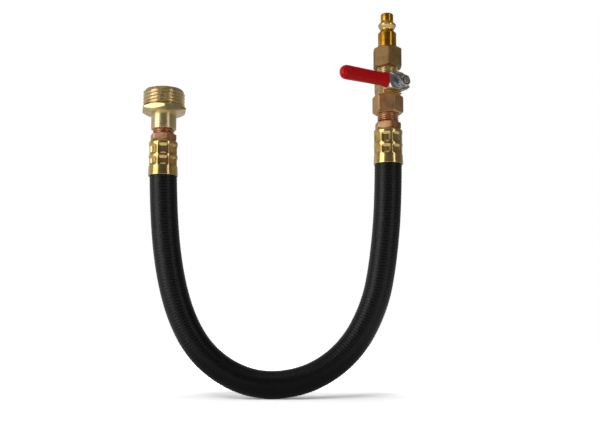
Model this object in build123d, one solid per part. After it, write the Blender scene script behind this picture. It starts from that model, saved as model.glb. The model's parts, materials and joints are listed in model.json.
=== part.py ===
# Winterizing blow-out adapter: garden-hose thread, short rubber hose, ball valve and air plug.
# Millimetres, +Z up. The origin is on the axis of the garden-hose thread, in the plane of its shoulder.
from build123d import *
import math
import os

os.makedirs("parts", exist_ok=True)

# overall layout
leg_spacing = 146.0  # between the two upright ends
air_rise = 7.7  # how much higher the air end's ferrule sits

# garden-hose thread adapter, 3/4-11.5 NH male
garden_major_radius = 13.4
garden_pitch = 25.4 / 11.5
garden_depth = 1.15
garden_length = 11.2
garden_bore_radius = 9.6
flange_flats = 27.2
flange_thick = 4.4
neck_radius = 8.1
neck_length = 10.5

# 1/4-18 pipe thread, drawn parallel
pipe_major_radius = 6.85
pipe_pitch = 25.4 / 18
pipe_depth = 0.75
pipe_length = 13.0
port_radius = 2.9

# hose insert, the same at both ends
insert_hex_flats = 15.2
insert_hex_height = 4.9
insert_neck_radius = 5.6
barb_radius = 4.76
barb_depth = 0.5
barb_count = 5
barb_pitch = 3.6
water_thread_gap = 2.9  # pipe thread left showing at the water end
air_thread_gap = 5.6  # and at the air end

# hose
hose_radius = 8.75
braid_outer_radius = 6.9
braid_inner_radius = 6.2
hose_bore_radius = barb_radius

# crimped ferrule
ferrule_radius = 9.3
ferrule_length = 22.8
ferrule_end_wall = 0.9
ferrule_flare = 0.25
crimp_count = 8
crimp_depth = 0.34
crimp_rows = ((2.7, 6.8), (10.8, 5.8))  # distance down from the closed end, and height

# ball valve
cap_hex_flats = 17.7
cap_hex_height = 12.1
cap_hex_turn = 19.0
cap_spigot_radius = 7.0
cap_spigot_height = 2.0
cap_recess_radius = 5.35
stem_height_over_cap = 5.8
barrel_radius = 8.6
barrel_height = 13.5
barrel_flats = 14.0  # across the two cast sides beside the stem
turned_ring_radius = 8.3  # where the lathe faced the casting above the end cap
turned_ring_height = 2.3
stem_turn = 31.0  # stem direction, turned from -Y towards +X
boss_radius = 7.15
boss_face = 13.4
ball_radius = 5.25
ball_bore_radius = 2.75
seat_gap = 0.03
seat_reach = 3.1
seat_floor = 5.4
cavity_radius = 5.6

# stem and lever, measured outwards from the pipe's axis
stem_radius = 2.75
stem_bore_radius = 2.83
stem_flange_radius = 3.6
stem_flange_start = 5.45
stem_flange_end = 6.9
thrust_washer_thick = 0.5
stem_flats = 4.0
stem_thread_radius = 2.0
stem_end = 20.6
tang_width = 2.0
tang_start = 3.5
o_ring_place = 10.0
o_ring_section = 0.75
lever_inner = 13.5
lever_thick = 1.9
lever_height = 10.1
lever_tail = 5.4
lever_joggle = 0.9
lever_length = 43.0
grip_start = 10.2
grip_end = 46.0
grip_height = 8.5
grip_root_height = 9.6
grip_thick = 5.8
lock_washer_thick = 0.9
nut_flats = 7.0
nut_thick = 3.4
stop_radius = (5.75, 7.05)
stop_height = 1.7
stop_angle = 69  # from the lever's centre line at either limit of its quarter turn

# industrial air plug
plug_hex_flats = 17.5
plug_hex_height = 13.8
plug_gap = 4.7  # valve thread left showing under the plug
plug_body_radius = 6.0
plug_waist_radius = 4.35
plug_collar_radius = 5.85
plug_nose_radius = 4.15
plug_body_height = 10.9
plug_collar_rise = 4.5  # from the body's end to the collar's middle
plug_nose_rise = 2.3
plug_nose_height = 5.4

# levels that follow from these sizes
neck_end = -flange_thick - neck_length
water_hex_top = neck_end - water_thread_gap
water_ferrule_top = water_hex_top - insert_hex_height
air_ferrule_top = water_ferrule_top + air_rise
air_hex_top = air_ferrule_top + insert_hex_height
cap_low = air_hex_top + air_thread_gap
cap_high = cap_low + cap_hex_height
stem_level = cap_high + stem_height_over_cap
barrel_high = cap_high + barrel_height
plug_low = barrel_high + plug_gap
plug_hex_high = plug_low + plug_hex_height
air_axis = Pos(leg_spacing, 0, 0)

# The hose's route: straight out of the water ferrule, round the bend and up into the air ferrule.
hose_route = [
    (0, water_ferrule_top - ferrule_end_wall),
    (0, -67),
    (5, -119),
    (19, -153.0),
    (41, -172),
    (66, -180.5),
    (96, -176),
    (121, -158),
    (136, -130.5),
    (142, -102.0),
    (leg_spacing, -58.5),
    (leg_spacing, air_ferrule_top - ferrule_end_wall),
]


def turned(points):
    """A solid turned about Z from its (radius, height) outline."""
    outline = [(r, 0, z) for r, z in points]
    return revolve(make_face(Polyline(*outline, close=True)), Axis.Z)


def tube(outer, inner, low, high):
    return turned([(inner, low), (outer, low), (outer, high), (inner, high)])


def rod(radius, low, high):
    return turned([(0, low), (radius, low), (radius, high), (0, high)])


def hexagon(flats, low, high, turn, top_edge=0.0, bottom_edge=0.0):
    """A hexagonal bar with a corner at -Y turned by turn degrees, its ends chamfered at 30 degrees."""
    corner = flats / 2 / math.cos(math.radians(30))
    prism = extrude(RegularPolygon(corner, 6, rotation=turn - 90), high - low)
    outline = [(0, low)]
    outline += chamfered_edge(flats, corner, low, bottom_edge, 1)
    outline += reversed(chamfered_edge(flats, corner, high, top_edge, -1))
    outline += [(0, high)]
    return (Pos(0, 0, low) * prism) & turned(outline)


def chamfered_edge(flats, corner, level, edge, inwards):
    """The end of a hexagon's turned outline; edge is how far the chamfer starts inside the flats."""
    if not edge:
        return [(corner, level)]
    width = corner - flats / 2 + edge
    return [(corner - width, level), (corner, level + inwards * width * math.tan(math.radians(30)))]


def thread_grooves(radius, depth, pitch, first, count):
    """The V grooves of a thread, as rings to take away."""
    half = depth * math.tan(math.radians(30)) + 0.1 * pitch
    rings = []
    for turn in range(count):
        middle = first + turn * pitch
        root = [(radius - depth, middle - 0.1 * pitch), (radius - depth, middle + 0.1 * pitch)]
        crest = [(radius + 0.2, middle + half * 1.15), (radius + 0.2, middle - half * 1.15)]
        rings.append(turned(root + crest))
    return rings


def raised_block(length, width, height, low):
    return Pos(0, 0, low) * Box(length, width, height, align=(Align.CENTER, Align.CENTER, Align.MIN))


def keep(shape, node):
    shape.label = node
    export_step(shape, f"parts/{node}.step")


# Water end

def water_adapter():
    tip = 1.1  # lead chamfer at the thread's mouth
    outside = turned([
        (0, neck_end),
        (neck_radius - 0.5, neck_end),
        (neck_radius, neck_end + 0.5),
        (neck_radius, -flange_thick),
        (12.2, -flange_thick),
        (12.2, 0),
        (garden_major_radius, 0),
        (garden_major_radius, garden_length - tip),
        (garden_major_radius - tip, garden_length),
        (0, garden_length),
    ])
    flange = hexagon(flange_flats, -flange_thick, 0, 12.7, top_edge=0.3, bottom_edge=0.3)
    body = outside + flange
    grooves = thread_grooves(garden_major_radius, garden_depth, garden_pitch, 1.6, 4)
    socket = rod(pipe_major_radius, neck_end - 1, neck_end + 11)
    throat = rod(5.5, neck_end + 10, garden_length)
    mouth = rod(garden_bore_radius, 1.6, garden_length + 1)
    return body - grooves - socket - throat - mouth


def hose_insert(hex_top, turn):
    """Pipe thread over a hexagon over a barbed tail."""
    hex_low = hex_top - insert_hex_height
    barb_start = hex_low - ferrule_end_wall
    tail_low = barb_start - barb_count * barb_pitch - 1.5
    thread_high = hex_top + pipe_length
    outline = [(0, tail_low), (barb_radius - 0.6, tail_low), (barb_radius, tail_low + 1.5)]
    for barb in range(barb_count):
        foot = tail_low + 1.5 + barb * barb_pitch
        outline += [(barb_radius, foot + 0.8), (barb_radius - barb_depth, foot + 0.8)]
        outline += [(barb_radius, foot + barb_pitch)]
    outline += [
        (insert_neck_radius, barb_start),
        (insert_neck_radius, hex_top),
        (pipe_major_radius - pipe_depth, hex_top),
        (pipe_major_radius - pipe_depth, hex_top + 0.5),
        (pipe_major_radius, hex_top + 1.0),
        (pipe_major_radius, thread_high - 0.8),
        (pipe_major_radius - 0.8, thread_high),
        (0, thread_high),
    ]
    body = turned(outline) + hexagon(insert_hex_flats, hex_low, hex_top, turn, top_edge=0.3, bottom_edge=0.2)
    grooves = thread_grooves(pipe_major_radius, pipe_depth, pipe_pitch, hex_top + 1.9, 7)
    return body - grooves - rod(port_radius, tail_low - 1, thread_high + 1)


def ferrule(top):
    """A drawn brass shell with two rings of crimped flats and a slightly flared mouth."""
    mouth = top - ferrule_length
    outside = turned([
        (0, mouth),
        (ferrule_radius + ferrule_flare, mouth),
        (ferrule_radius, mouth + 6),
        (ferrule_radius, top - 0.9),
        (ferrule_radius - 0.9, top),
        (0, top),
    ])
    room = rod(hose_radius, mouth - 1, top - ferrule_end_wall)
    shell = outside - room - rod(insert_neck_radius, mouth, top + 1)
    flats = []
    for down, height in crimp_rows:
        for flat in range(crimp_count):
            block = Box(2, 6, height, align=(Align.MIN, Align.CENTER, Align.MAX))
            place = Rot(0, 0, flat * 360 / crimp_count) * Pos(ferrule_radius - crimp_depth, 0, top - down)
            flats.append(place * block)
    return shell - flats


# Hose

def hose_path():
    """Straight runs joined by tangent arcs, each as large as its two runs allow."""
    points = [Vector(x, 0, z) for x, z in hose_route]
    radii = []
    for before, point, after in zip(points, points[1:], points[2:]):
        turn = (point - before).get_angle(after - point)
        shorter = min((point - before).length, (after - point).length)
        radii.append(0.45 * shorter / math.tan(math.radians(turn / 2)))
    return FilletPolyline(*points, radius=radii), radii


def hose_layer(path, outer, inner):
    start = Plane(origin=path @ 0, x_dir=(1, 0, 0), z_dir=path % 0)
    section = start * (Circle(outer) - Circle(inner))
    return sweep(section, path=path)


# Ball valve, in a frame with its pipe axis on Z

def along_stem(shape):
    """Turns a shape made along +Z so that it points along the stem."""
    out = Plane(
        origin=(0, 0, stem_level),
        x_dir=(-math.cos(math.radians(stem_turn)), -math.sin(math.radians(stem_turn)), 0),
        z_dir=(math.sin(math.radians(stem_turn)), -math.cos(math.radians(stem_turn)), 0),
    )
    return out * shape


def valve_end_cap():
    outside = hexagon(cap_hex_flats, cap_low, cap_high, cap_hex_turn, top_edge=0.6, bottom_edge=0.6)
    spigot = tube(cap_spigot_radius, cap_recess_radius, cap_high - 1, cap_high + cap_spigot_height)
    socket = rod(pipe_major_radius, cap_low - 1, cap_low + 8.5)
    seat_bed = rod(cap_recess_radius, stem_level - seat_floor, cap_high + 1)
    return (outside + spigot) - socket - seat_bed - rod(port_radius, cap_low, cap_high + 1)


def valve_body():
    barrel = turned([
        (0, cap_high),
        (barrel_radius - 0.5, cap_high),
        (barrel_radius, cap_high + 0.5),
        (barrel_radius, barrel_high - 1.5),
        (barrel_radius - 1.5, barrel_high),
        (0, barrel_high),
    ])
    cheeks = Rot(0, 0, stem_turn) * Pos(0, 0, (cap_high + barrel_high) / 2) * Box(barrel_flats, 30, 40)
    thread = turned([
        (0, barrel_high - 1),
        (pipe_major_radius - pipe_depth, barrel_high - 1),
        (pipe_major_radius - pipe_depth, barrel_high + 0.6),
        (pipe_major_radius, barrel_high + 1.1),
        (pipe_major_radius, barrel_high + pipe_length - 0.8),
        (pipe_major_radius - 0.8, barrel_high + pipe_length),
        (0, barrel_high + pipe_length),
    ])
    boss = along_stem(turned([
        (0, 0),
        (boss_radius, 0),
        (boss_radius, boss_face - 0.5),
        (boss_radius - 0.5, boss_face),
        (0, boss_face),
    ]))
    stops = [along_stem(stop_lug(angle)) for angle in (-stop_angle, 90 + stop_angle)]
    solid = (barrel & cheeks) + thread + boss + stops
    hollows = [
        rod(cap_spigot_radius, cap_high - 1, cap_high + cap_spigot_height),
        rod(cavity_radius, cap_high, stem_level + seat_reach),
        rod(cap_recess_radius, cap_high, stem_level + seat_floor),
        rod(port_radius, cap_high, barrel_high + pipe_length + 1),
        along_stem(rod(stem_flange_radius + 0.1, 0, stem_flange_end + thrust_washer_thick)),
        along_stem(rod(stem_bore_radius, 0, boss_face + 1)),
        rod(20, cap_low, cap_high),
        tube(20, turned_ring_radius, cap_high, cap_high + turned_ring_height),
    ]
    grooves = thread_grooves(pipe_major_radius, pipe_depth, pipe_pitch, barrel_high + 2.0, 7)
    return solid - hollows - grooves


def stop_lug(angle):
    """A small cast lug on the boss's face that the lever's edge meets at the end of its travel."""
    inner, outer = stop_radius
    block = Box(outer - inner, 1.1, stop_height + 0.5, align=(Align.MIN, Align.CENTER, Align.MIN))
    return Rot(0, 0, angle) * Pos(inner, 0, boss_face - 0.5) * block


def valve_ball():
    """A bored ball, closed at rest: its bore lies across the pipe."""
    ball = Sphere(ball_radius)
    bore = Rot(0, 90, 0) * Cylinder(ball_bore_radius, 4 * ball_radius)
    slot = raised_block(tang_width + 0.04, 20, 10, tang_start)
    return along_stem(ball - bore - slot)


def ball_seat(side):
    """A ring that carries the ball; side is +1 above it and -1 below."""
    ring = tube(cap_recess_radius, port_radius, seat_reach, seat_floor)
    ring = ring - Sphere(ball_radius + seat_gap)
    if side < 0:
        ring = Rot(180, 0, 0) * ring
    return Pos(0, 0, stem_level) * ring


def valve_stem():
    groove = o_ring_section * 1.3
    shaft = turned([
        (0, stem_flange_start),
        (stem_flange_radius, stem_flange_start),
        (stem_flange_radius, stem_flange_end),
        (stem_radius, stem_flange_end),
        (stem_radius, o_ring_place - groove),
        (stem_bore_radius - 2 * o_ring_section, o_ring_place - groove),
        (stem_bore_radius - 2 * o_ring_section, o_ring_place + groove),
        (stem_radius, o_ring_place + groove),
        (stem_radius, lever_inner + lever_thick - 0.1),
        (stem_thread_radius, lever_inner + lever_thick - 0.1),
        (stem_thread_radius, stem_end - 0.4),
        (stem_thread_radius - 0.4, stem_end),
        (0, stem_end),
    ])
    tang = raised_block(tang_width, 5.4, 3, tang_start)
    waste = raised_block(20, 20, 10, boss_face + 0.05) - raised_block(20, stem_flats, 12, boss_face)
    grooves = thread_grooves(stem_thread_radius, 0.3, 0.7, lever_inner + lever_thick + 0.7, 6)
    return along_stem(shaft + tang - waste - grooves)


def o_ring():
    section = o_ring_section - 0.02
    return along_stem(Pos(0, 0, o_ring_place) * Torus(stem_bore_radius - o_ring_section - 0.02, section))


def thrust_washer():
    low = stem_flange_end + 0.02
    high = stem_flange_end + thrust_washer_thick - 0.02
    return along_stem(tube(stem_flange_radius, stem_radius + 0.03, low, high))


def lever_strip(height, start, end):
    """The lever's bent strip, seen along its edge, at the given height."""
    low = lever_inner
    high = lever_inner + lever_thick
    shift = -lever_joggle
    outline = [(start, low), (7.4, low), (9.4, low + shift), (end, low + shift)]
    outline += [(end, high + shift), (9.8, high + shift), (7.8, high), (start, high)]
    face = make_face(Polyline(*[(s, -height / 2, n) for s, n in outline], close=True))
    return extrude(face, height, dir=(0, 1, 0))


def lever():
    wide = lever_strip(lever_height, 0, grip_start + 1)
    narrow = lever_strip(grip_height - 2.2, grip_start, lever_length)
    tail = rod(lever_tail, lever_inner, lever_inner + lever_thick)
    hole = rod(stem_radius + 0.02, lever_inner - 1, lever_inner + lever_thick + 1)
    hole = hole & Box(20, stem_flats + 0.04, 80)
    strip = wide + narrow + (tail & Box(2 * lever_tail, lever_height, 80))
    return along_stem(strip - hole)


def lever_grip():
    """A dipped vinyl grip, oval in section, with a wider collar at its root."""
    middle = lever_inner + lever_thick / 2 - lever_joggle
    root = Plane(origin=(grip_start, 0, middle), x_dir=(0, 1, 0), z_dir=(1, 0, 0))
    sections = []
    for along, height, thick in (
        (0, grip_root_height, grip_thick + 0.2),
        (1.2, grip_root_height, grip_thick + 0.2),
        (6, grip_height, grip_thick),
        (grip_end - grip_start - grip_height / 2, grip_height + 0.3, grip_thick),
    ):
        sections.append(root.offset(along) * RectangleRounded(height, thick, thick * 0.42))
    body = loft(sections, ruled=True)
    start = grip_end - grip_height / 2
    end_round = extrude(
        Plane.XY.offset(middle - grip_thick / 2) * Pos(start, 0, 0) * Circle(grip_height / 2), grip_thick
    )
    half = Box(30, 30, grip_thick, align=(Align.MIN, Align.CENTER, Align.CENTER))
    end_round = end_round & Pos(start, 0, middle) * half
    body = body + chamfer(end_round.edges().filter_by(GeomType.CIRCLE), 1.4)
    return along_stem(body) - lever()


def lock_washer():
    high = lever_inner + lever_thick
    return along_stem(tube(3.6, stem_thread_radius + 0.1, high, high + lock_washer_thick))


def lock_nut():
    low = lever_inner + lever_thick + lock_washer_thick
    nut = hexagon(nut_flats, low, low + nut_thick, 20, top_edge=0.3)
    return along_stem(nut - rod(stem_thread_radius, low - 1, low + nut_thick + 1))


# Air end

def air_plug():
    hexed = hexagon(plug_hex_flats, plug_low, plug_hex_high, 0, top_edge=1.2, bottom_edge=0.6)
    body_high = plug_hex_high + plug_body_height
    collar_middle = body_high + plug_collar_rise
    nose_low = collar_middle + plug_nose_rise
    nose_high = nose_low + plug_nose_height
    outside = turned([
        (0, plug_hex_high - 1),
        (plug_body_radius, plug_hex_high - 1),
        (plug_body_radius, body_high - 1.0),
        (plug_body_radius - 1.2, body_high),
        (plug_waist_radius, body_high + 0.9),
        (plug_waist_radius, body_high + 2.0),
        (plug_collar_radius - 0.5, collar_middle - 0.8),
        (plug_collar_radius, collar_middle - 0.4),
        (plug_collar_radius, collar_middle + 0.4),
        (plug_collar_radius - 0.5, collar_middle + 0.8),
        (plug_nose_radius - 0.2, nose_low),
        (plug_nose_radius - 0.2, nose_low + 0.4),
        (plug_nose_radius, nose_low + 0.5),
        (plug_nose_radius, nose_high - 0.5),
        (plug_nose_radius - 0.5, nose_high),
        (0, nose_high),
    ])
    socket = rod(pipe_major_radius, plug_low - 1, plug_low + 10.5)
    return (hexed + outside) - socket - rod(port_radius, plug_low, nose_high + 1)


path, radii = hose_path()
cover = hose_layer(path, hose_radius, braid_outer_radius)
braid = hose_layer(path, braid_outer_radius, braid_inner_radius)
liner = hose_layer(path, braid_inner_radius, hose_bore_radius)

keep(water_adapter(), "water_adapter")
keep(hose_insert(water_hex_top, 21.5), "water_insert")
keep(ferrule(water_ferrule_top), "water_ferrule")
keep(cover, "hose_cover")
keep(braid, "hose_braid")
keep(liner, "hose_liner")
keep(air_axis * ferrule(air_ferrule_top), "air_ferrule")
keep(air_axis * hose_insert(air_hex_top, 8), "air_insert")
keep(air_axis * valve_end_cap(), "valve_end_cap")
keep(air_axis * valve_body(), "valve_body")
keep(air_axis * valve_ball(), "valve_ball")
keep(air_axis * ball_seat(-1), "lower_seat")
keep(air_axis * ball_seat(1), "upper_seat")
keep(air_axis * valve_stem(), "valve_stem")
keep(air_axis * thrust_washer(), "thrust_washer")
keep(air_axis * o_ring(), "stem_o_ring")
keep(air_axis * lever(), "lever")
keep(air_axis * lever_grip(), "lever_grip")
keep(air_axis * lock_washer(), "lock_washer")
keep(air_axis * lock_nut(), "lock_nut")
keep(air_axis * air_plug(), "air_plug")

section_area = math.pi * (hose_radius**2 - braid_outer_radius**2)
print("hose length", round(path.length, 1))
print("cover volume against section times length", round(cover.volume / (section_area * path.length), 4))
print("bend radii", [round(r) for r in radii])
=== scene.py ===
# Blow-out adapter hose: garden-hose thread, U-bent rubber hose, ball valve and air plug.
import json
import math
import bpy
import bmesh
from mathutils import Matrix, Vector, noise


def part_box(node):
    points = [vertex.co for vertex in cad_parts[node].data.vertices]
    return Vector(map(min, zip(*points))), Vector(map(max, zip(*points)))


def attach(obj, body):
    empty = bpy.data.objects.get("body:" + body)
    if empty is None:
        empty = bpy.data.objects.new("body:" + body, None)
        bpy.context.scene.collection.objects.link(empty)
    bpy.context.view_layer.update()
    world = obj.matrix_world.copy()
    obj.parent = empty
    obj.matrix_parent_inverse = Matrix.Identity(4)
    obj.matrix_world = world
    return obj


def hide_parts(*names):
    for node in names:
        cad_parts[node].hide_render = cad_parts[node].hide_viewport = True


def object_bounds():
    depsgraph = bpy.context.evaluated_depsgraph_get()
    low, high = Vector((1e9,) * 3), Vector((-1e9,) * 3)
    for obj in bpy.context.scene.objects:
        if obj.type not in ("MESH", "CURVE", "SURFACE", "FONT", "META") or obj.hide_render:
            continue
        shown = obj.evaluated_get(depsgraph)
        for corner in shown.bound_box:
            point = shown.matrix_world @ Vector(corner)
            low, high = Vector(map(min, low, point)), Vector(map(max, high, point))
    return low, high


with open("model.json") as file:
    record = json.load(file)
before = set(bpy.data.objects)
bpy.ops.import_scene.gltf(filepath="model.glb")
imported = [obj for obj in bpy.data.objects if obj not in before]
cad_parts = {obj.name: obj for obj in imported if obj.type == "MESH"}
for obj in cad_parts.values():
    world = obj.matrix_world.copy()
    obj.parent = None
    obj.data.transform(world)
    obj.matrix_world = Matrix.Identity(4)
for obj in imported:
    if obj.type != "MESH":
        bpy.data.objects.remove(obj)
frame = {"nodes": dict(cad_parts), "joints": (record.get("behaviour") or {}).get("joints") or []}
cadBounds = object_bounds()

mm = 0.001
fixedBody = "hose_and_fittings"
turningBody = "lever_and_ball"
stemJoint = frame["joints"][0]
stemPoint = Vector(stemJoint["pos_m"])
stemAxis = Vector(stemJoint["axis"]).normalized()
waterAxis = Vector((0, 0, 0))
airAxis = Vector((stemPoint.x, 0, 0))
columns = 180  # faces round a turned part, a multiple of 6 so that hexagon corners fall on one
cornerAngle = 28.6  # degrees from the middle of a hexagon's side to where its blunted corner begins


def levelOf(node, end):
    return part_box(node)[end].z / mm


# small helpers for colour, nodes and meshes
def linear(hexColour):
    parts = [int(hexColour[i:i + 2], 16) / 255 for i in (1, 3, 5)]
    return [p / 12.92 if p <= 0.04045 else ((p + 0.055) / 1.055) ** 2.4 for p in parts] + [1.0]


def addNode(tree, kind, settings=None, links=None):
    # settings are a ramp's stops, attributes or socket values; a link comes from a node's first
    # output, or from the output that is given
    node = tree.nodes.new(kind)
    for key, value in (settings or {}).items():
        if key == "stops":
            elements = node.color_ramp.elements
            while len(elements) < len(value):
                elements.new(0.5)
            for element, (place, colour) in zip(elements, value):
                element.position = place
                element.color = linear(colour) if isinstance(colour, str) else [colour] * 3 + [1.0]
        elif hasattr(node, str(key)):
            setattr(node, key, value)
        else:
            node.inputs[key].default_value = value
    for key, source in (links or {}).items():
        output = source.outputs[0] if isinstance(source, bpy.types.Node) else source
        tree.links.new(output, node.inputs[key])
    return node


def newMaterial(name):
    material = bpy.data.materials.new(name)
    material.use_nodes = True
    material.node_tree.nodes.clear()
    return material, material.node_tree


def finishSurface(tree, shader, bump=None):
    if bump:
        tree.links.new(bump.outputs[0], shader.inputs["Normal"])
    addNode(tree, "ShaderNodeOutputMaterial", links={"Surface": shader})


def smoothStep(low, high, value):
    t = min(1, max(0, (value - low) / (high - low)))
    return t * t * (3 - 2 * t)


def addObject(name, data):
    thing = bpy.data.objects.new(name, data)
    bpy.context.scene.collection.objects.link(thing)
    return thing


def joinRings(shell, near, far):
    # a band of faces between two closed rings of corners
    for i in range(len(near)):
        after = (i + 1) % len(near)
        shell.faces.new((near[i], near[after], far[after], far[i]))


def rowSolid(name, rows, centre):
    # a closed skin from rows of (radius, height) in mm, or functions of the angle that give them
    mesh = bpy.data.meshes.new(name)
    shell = bmesh.new()
    grid = []
    for row in rows:
        ring = []
        for column in range(columns):
            angle = 2 * math.pi * column / columns
            radius, height = row(angle) if callable(row) else row
            ring.append(shell.verts.new((
                centre.x + radius * mm * math.sin(angle),
                centre.y - radius * mm * math.cos(angle),
                centre.z + height * mm,
            )))
        grid.append(ring)
    for lower, upper in zip(grid, grid[1:] + grid[:1]):
        joinRings(shell, lower, upper)
    return finishMesh(name, mesh, shell)


def finishMesh(name, mesh, shell, sharpAngle=26, merge=0.002 * mm):
    bmesh.ops.remove_doubles(shell, verts=shell.verts, dist=merge)
    bmesh.ops.dissolve_degenerate(shell, edges=shell.edges, dist=merge / 2)
    bmesh.ops.recalc_face_normals(shell, faces=shell.faces)
    markSharp(shell, sharpAngle)
    shell.to_mesh(mesh)
    shell.free()
    return addObject(name, mesh)


def markSharp(shell, sharpAngle):
    for face in shell.faces:
        face.smooth = True
    for edge in shell.edges:
        if len(edge.link_faces) == 2:
            edge.smooth = edge.calc_face_angle(0) < math.radians(sharpAngle)


def rounded(points, steps=3):
    # each point is (radius, height) or (radius, height, fillet); a fillet becomes a short curve
    soft = []
    for i, point in enumerate(points):
        if len(point) == 2:
            soft.append(point)
            continue
        corner = Vector(point[:2])
        before = Vector(points[i - 1][:2])
        after = Vector(points[(i + 1) % len(points)][:2])
        start = corner + (before - corner).normalized() * point[2]
        end = corner + (after - corner).normalized() * point[2]
        for step in range(steps + 1):
            t = step / steps
            soft.append(tuple(start.lerp(corner, t).lerp(corner.lerp(end, t), t)))
    return soft


def hexRadius(flats, turn):
    # distance to a hexagon's side, with a corner turned that many degrees to the right of -Y
    def radius(angle):
        fromFlat = abs((math.degrees(angle) - turn) % 60 - 30)
        return flats / 2 / math.cos(math.radians(min(fromFlat, cornerAngle)))
    return radius


def hexRows(flats, turn, low, high, lowStart, highStart, edge=0.1, chamfer=30):
    # side wall of a hexagon whose chamfers begin at the given radii
    radius = hexRadius(flats, turn)
    slope = math.tan(math.radians(chamfer))

    def wall(level, start, sign, inset):
        def row(angle):
            r = radius(angle)
            drop = max(0, r - start) * slope + (edge - inset)
            return r - inset, level + sign * drop
        return row
    return [
        (lowStart, low), wall(low, lowStart, 1, edge), wall(low, lowStart, 1, 0),
        wall(high, highStart, -1, 0), wall(high, highStart, -1, edge), (highStart, high),
    ]


def threadRows(major, depth, pitch, low, high, fadeLow=0.6, fadeHigh=0.9):
    # a right-hand thread as rows at even heights; it dies out at both ends of its stretch
    rowsPerPitch = 22
    crest = 0.16
    overshoot = 1.2
    count = int((high - low) / pitch * rowsPerPitch)
    rows = []
    for i in range(count + 1):
        height = low + (high - low) * i / count

        def row(angle, height=height):
            phase = (height / pitch - angle / (2 * math.pi)) % 1
            fromCrest = abs(phase - 0.5) * 2
            r = major - depth * smoothStep(crest, 1 - crest, fromCrest)
            r = min(r, major - depth + max(0, (height - low)) / fadeLow * depth * overshoot)
            r = min(r, major - depth + max(0, (high - height)) / fadeHigh * depth * overshoot)
            return r, height
        rows.append(row)
    return rows


def placed(piece, body, slotName, material, *nodes):
    piece.data.materials.clear()
    piece.data.materials.append(material)
    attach(piece, body)
    if nodes:
        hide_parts(*nodes)


# camera, near the floor and looking slightly up
cameraLook = {
    "distance": 560, "rise": 36, "aside": 15.7, "pitch": 5.78,
    "lens": 52.65, "sensor": 36, "liftShift": 0.07, "nearestM": 0.01,
}

floorLevel = cadBounds[0].z
middleX = airAxis.x / 2
cameraData = bpy.data.cameras.new("camera")
camera = addObject("camera", cameraData)
bpy.context.scene.camera = camera
cameraData.lens = cameraLook["lens"]
cameraData.sensor_width = cameraLook["sensor"]
cameraData.shift_y = cameraLook["liftShift"]
cameraData.clip_start = cameraLook["nearestM"]
camera.location = (
    middleX + cameraLook["aside"] * mm,
    -cameraLook["distance"] * mm,
    floorLevel + cameraLook["rise"] * mm,
)
camera.rotation_euler = (math.radians(90 + cameraLook["pitch"]), 0, 0)
print("camera ready")


# hose
hoseLook = {
    "radius": 8.75, "lengthM": 0.393, "stepM": 0.00046, "facets": 112,
    "ribSpacing": 2.0, "ribDepth": 0.135, "threadsAround": 26, "threadShare": 0.55,
    "lumpDepth": 0.16, "lumpSize": 1.92, "crimpReach": 18.5, "crimpSqueeze": 0.4, "topGap": 0.9,
}
hoseRoute = [  # x and z in mm, from the water end to the air end
    (0, levelOf("water_ferrule", 1) - hoseLook["topGap"]),
    (0, -67),
    (6.6, -119),
    (20.4, -153),
    (41, -172),
    (66, -180.5),
    (96, -176),
    (121, -158),
    (136, -130.5),
    (142, -102),
    (146, -58.5),
    (146, levelOf("air_ferrule", 1) - hoseLook["topGap"]),
]


def hoseCurve():
    data = bpy.data.curves.new("hoseRoute", "CURVE")
    data.dimensions = "3D"
    data.resolution_u = 24
    spline = data.splines.new("NURBS")
    spline.points.add(len(hoseRoute) - 1)
    for point, (x, z) in zip(spline.points, hoseRoute):
        point.co = (x * mm, 0, z * mm, 1)
    spline.order_u = 3
    spline.use_endpoint_u = True
    return addObject("hoseRoute", data)


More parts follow.
